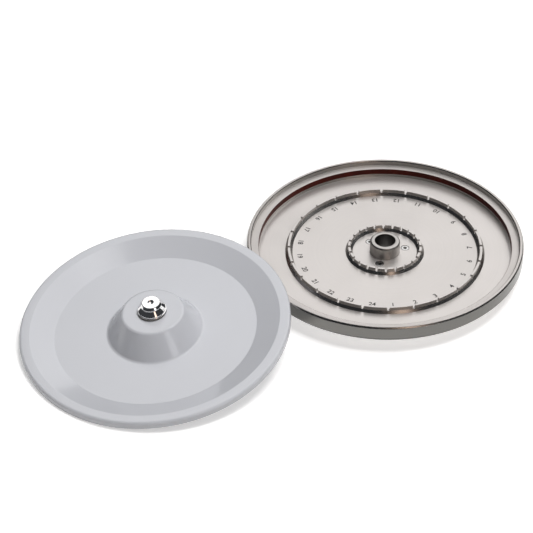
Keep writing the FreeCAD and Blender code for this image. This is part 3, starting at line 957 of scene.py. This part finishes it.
class ROTOR_OT_stud(RotorOperator, bpy.types.Operator):
    """Turn the stud and cut its thread"""

    bl_idname = "rotor.stud"
    bl_label = "Stud"

    def execute(self, context):
        groove = STUD_RADIUS - GROOVE_DEPTH
        groove_top = RETAINER_TOP + GROOVE_PLAY
        groove_foot = RETAINER_FOOT - GROOVE_PLAY
        stud = spin_outline("threaded_stud", sharp(
            (0, STUD_END), (STUD_RADIUS - STUD_POINT, STUD_END), (STUD_RADIUS, STUD_END + STUD_POINT),
            (STUD_RADIUS, groove_foot), (groove, groove_foot), (groove, groove_top),
            (STUD_RADIUS, groove_top), (STUD_RADIUS, STUD_TOP), (0, STUD_TOP)), STEPS_ROUND_SMALL)
        cut_thread(stud, STUD_END + STUD_POINT, groove_foot)
        place_in_lid(stud)
        finish_piece(stud, "knob", "knob_stud", "stud_steel",
                     turned_metal("stud_steel", STUD_COLOUR, 0.3, 3000.0, 0.2, in_lid=True))
        return {"FINISHED"}


def cut_thread(stud, low, high):
    """Divide the stud between two heights and sink a helical thread into it."""
    select_only(stud)
    rows = round((high - low) / THREAD_PITCH * THREAD_ROWS)
    bpy.ops.object.mode_set(mode="EDIT")
    for i in range(1, rows):
        bpy.ops.mesh.select_all(action="SELECT")
        bpy.ops.mesh.bisect(plane_co=(0, 0, low + (high - low) * i / rows), plane_no=UP)
    bpy.ops.object.mode_set(mode="OBJECT")
    for vertex in stud.data.vertices:
        height, radius = vertex.co.z, vertex.co.xy.length
        if low + SAME_PLACE < height < high - SAME_PLACE and radius > STUD_RADIUS - STUD_POINT / 2:
            turn = math.atan2(vertex.co.y, vertex.co.x) / math.tau
            phase = (height / THREAD_PITCH - turn) % 1.0
            fade = min(1.0, (height - low) / THREAD_PITCH, (high - height) / THREAD_PITCH)
            depth = THREAD_DEPTH * fade * abs(2 * phase - 1)
            vertex.co.xy = vertex.co.xy * ((radius - depth) / radius)


class ROTOR_OT_retainer(RotorOperator, bpy.types.Operator):
    """Give the retaining ring its spring steel"""

    bl_idname = "rotor.retainer"
    bl_label = "Retaining ring"

    def execute(self, context):
        ring = frame["nodes"]["retaining_ring"]
        ring.data.materials.clear()
        ring.data.materials.append(
            turned_metal("ring_steel", RETAINER_COLOUR, 0.35, 4000.0, 0.2, in_lid=True))
        return {"FINISHED"}


# The stage

CAMERA_ELEVATION = math.radians(37.95)
CAMERA_DISTANCE = 1.68
CAMERA_TURN = math.radians(2.71)
CAMERA_TIP = math.radians(-0.43)
CAMERA_ROLL = math.radians(1.52)
CAMERA_LENS = 168.1
SENSOR_WIDTH = 36.0
FLOOR_SIZE = 40.0
FLOOR_GLOW = 0.48
WALLS_RADIUS = 3.2
WALLS_STEPS = 96
MIDDLE = Vector((-0.07, -0.04, 0.02))
OPENING_TOWARDS = Vector((0.287, 0.497, 0.819))
OPENING_HALF = math.radians(38)


def seen_directly(tree):
    """1 for rays from the camera, from gloss and through glass, and 0 for the rest."""
    rays = add_node(tree, "ShaderNodeLightPath")
    first = add_node(tree, "ShaderNodeMath", operation="MAXIMUM")
    both = add_node(tree, "ShaderNodeMath", operation="MAXIMUM")
    tree.links.new(rays.outputs["Is Camera Ray"], first.inputs[0])
    tree.links.new(rays.outputs["Is Glossy Ray"], first.inputs[1])
    tree.links.new(first.outputs[0], both.inputs[0])
    tree.links.new(rays.outputs["Is Transmission Ray"], both.inputs[1])
    return both.outputs[0]


def floor_material(colour):
    """A pale floor that shows white where it is lit and keeps the shadows."""
    material, tree, shader, place = start_material(
        "studio_floor", {"Roughness": 0.9, "Emission Color": (1, 1, 1, 1)})
    wear = add_group(tree, handling_marks_group(), Size=1.5)
    glow = add_node(tree, "ShaderNodeMath", {1: FLOOR_GLOW}, operation="MULTIPLY")
    link = tree.links.new
    link(place, wear.inputs["Vector"])
    link(tinted(tree, wear.outputs["Mask"], colour, shade(colour, 0.995)), shader.inputs["Base Color"])
    link(seen_directly(tree), glow.inputs[0])
    link(glow.outputs[0], shader.inputs["Emission Strength"])
    return material


def walls_material(colour):
    """Plain dark studio walls that show the same shade however they are lit."""
    material, tree, shader, place = start_material(
        "studio_walls", {"Roughness": 1.0, "Base Color": (0, 0, 0, 1), "Emission Strength": 1.0})
    wear = add_group(tree, handling_marks_group(), Size=1.0)
    link = tree.links.new
    link(place, wear.inputs["Vector"])
    link(tinted(tree, wear.outputs["Mask"], colour, shade(colour, 0.97)), shader.inputs["Emission Color"])
    return material


def dark_walls():
    """A half sphere that shows only in reflections, with one round opening to the bright surroundings."""
    bpy.ops.object.select_all(action="DESELECT")
    bpy.ops.mesh.primitive_uv_sphere_add(segments=WALLS_STEPS, ring_count=WALLS_STEPS // 2,
                                         radius=WALLS_RADIUS)
    walls = bpy.context.object
    walls.name = "studio_walls"
    bpy.ops.object.mode_set(mode="EDIT")
    bpy.ops.mesh.select_all(action="DESELECT")
    mesh = bmesh.from_edit_mesh(walls.data)
    for face in mesh.faces:
        middle = face.calc_center_median()
        face.select = middle.z < 0 or middle.angle(OPENING_TOWARDS) < OPENING_HALF
    bmesh.update_edit_mesh(walls.data)
    bpy.ops.mesh.delete(type="FACE")
    bpy.ops.object.mode_set(mode="OBJECT")
    walls.visible_camera = False
    walls.visible_diffuse = False
    walls.visible_shadow = False
    return walls


def surround_light(strength, opening):
    """White all round: bright where it is seen or mirrored, and weak where it only lights."""
    world = bpy.data.worlds.new("studio")
    bpy.context.scene.world = world
    world.use_nodes = True
    tree = world.node_tree
    level = shifted(tree, seen_directly(tree), strength, opening)
    tree.links.new(level, tree.nodes["Background"].inputs["Strength"])
    tree.nodes["Background"].inputs["Color"].default_value = (1, 1, 1, 1)


def area_lamp(name, place, size, power, colour, mirrored=True):
    """A rectangular softbox that faces the object, and shows in its gloss unless told otherwise."""
    bpy.ops.object.select_all(action="DESELECT")
    bpy.ops.object.light_add(type="AREA", location=place)
    lamp = bpy.context.object
    lamp.name = name
    lamp.rotation_euler = (MIDDLE - Vector(place)).to_track_quat("-Z", "Y").to_euler()
    lamp.data.shape = "RECTANGLE"
    lamp.data.size = size[0]
    lamp.data.size_y = size[1]
    lamp.data.energy = power
    lamp.data.color = colour
    lamp.visible_glossy = mirrored


def add_camera():
    """The camera at the place and turn that fit the photograph's circles."""
    back = CAMERA_DISTANCE * math.cos(CAMERA_ELEVATION)
    place = Vector((0, -back, CAMERA_DISTANCE * math.sin(CAMERA_ELEVATION)))
    turn = (Matrix.Rotation(math.pi / 2 - CAMERA_ELEVATION, 4, "X") @ Matrix.Rotation(CAMERA_TURN, 4, "Y")
            @ Matrix.Rotation(CAMERA_TIP, 4, "X") @ Matrix.Rotation(CAMERA_ROLL, 4, "Z"))
    bpy.ops.object.camera_add()
    camera = bpy.context.object
    camera.matrix_world = Matrix.Translation(place + Vector((0, 0, FLOOR))) @ turn
    camera.data.sensor_width = SENSOR_WIDTH
    camera.data.lens = CAMERA_LENS
    bpy.context.scene.camera = camera


class ROTOR_OT_stage(RotorOperator, bpy.types.Operator):
    """Set up the floor, the surroundings, the lamps and the camera"""

    bl_idname = "rotor.stage"
    bl_label = "Stage"

    def execute(self, context):
        settings = context.scene.rotor_stage
        bpy.ops.object.select_all(action="DESELECT")
        bpy.ops.mesh.primitive_plane_add(size=FLOOR_SIZE)
        floor = bpy.context.object
        floor.name = "studio_floor"
        floor.data.materials.append(floor_material(settings.floor_colour))
        walls = dark_walls()
        walls.data.materials.append(walls_material(settings.walls_colour))
        surround_light(settings.surround_strength, settings.opening_strength)
        area_lamp("key", (0.46, -0.15, 2.25), (1.0, 1.0), settings.key_power, (1.0, 0.99, 0.98),
                  mirrored=False)
        area_lamp("window", (1.251, -1.587, 0.68), (0.66, 0.34), 1.2, (0.97, 0.98, 1.0))
        area_lamp("warm_strip", (0.78, -1.77, 1.76), (0.5, 1.0), 2.6, (1.0, 0.77, 0.62))
        add_camera()
        context.scene.view_settings.view_transform = "Standard"
        return {"FINISHED"}


class ROTOR_PT_panel(bpy.types.Panel):
    """The rotor's pieces, in the 3D view's sidebar"""

    bl_idname = "ROTOR_PT_panel"
    bl_label = "Capillary Rotor"
    bl_space_type = "VIEW_3D"
    bl_region_type = "UI"
    bl_category = "Rotor"

    def draw(self, context):
        for piece in PIECES:
            self.layout.operator(piece.bl_idname)


PIECES = (
    ROTOR_OT_pan, ROTOR_OT_numbers, ROTOR_OT_strip, ROTOR_OT_hub, ROTOR_OT_screws, ROTOR_OT_lid,
    ROTOR_OT_bush, ROTOR_OT_knob, ROTOR_OT_stud, ROTOR_OT_retainer, ROTOR_OT_stage,
)
CLASSES = (RotorPanSettings, RotorLidSettings, RotorStageSettings, *PIECES, ROTOR_PT_panel)


def register():
    for item in CLASSES:
        bpy.utils.register_class(item)
    bpy.types.Scene.rotor_pan = bpy.props.PointerProperty(type=RotorPanSettings)
    bpy.types.Scene.rotor_lid = bpy.props.PointerProperty(type=RotorLidSettings)
    bpy.types.Scene.rotor_stage = bpy.props.PointerProperty(type=RotorStageSettings)


def unregister():
    del bpy.types.Scene.rotor_stage
    del bpy.types.Scene.rotor_lid
    del bpy.types.Scene.rotor_pan
    for item in reversed(CLASSES):
        bpy.utils.unregister_class(item)


def main():
    register()
    bpy.ops.rotor.pan()
    bpy.ops.rotor.numbers()
    bpy.ops.rotor.strip()
    bpy.ops.rotor.hub()
    bpy.ops.rotor.screws()
    bpy.ops.rotor.lid()
    bpy.ops.rotor.bush()
    bpy.ops.rotor.knob()
    bpy.ops.rotor.stud()
    bpy.ops.rotor.retainer()
    bpy.ops.rotor.stage()


if __name__ == "__main__":
    main()
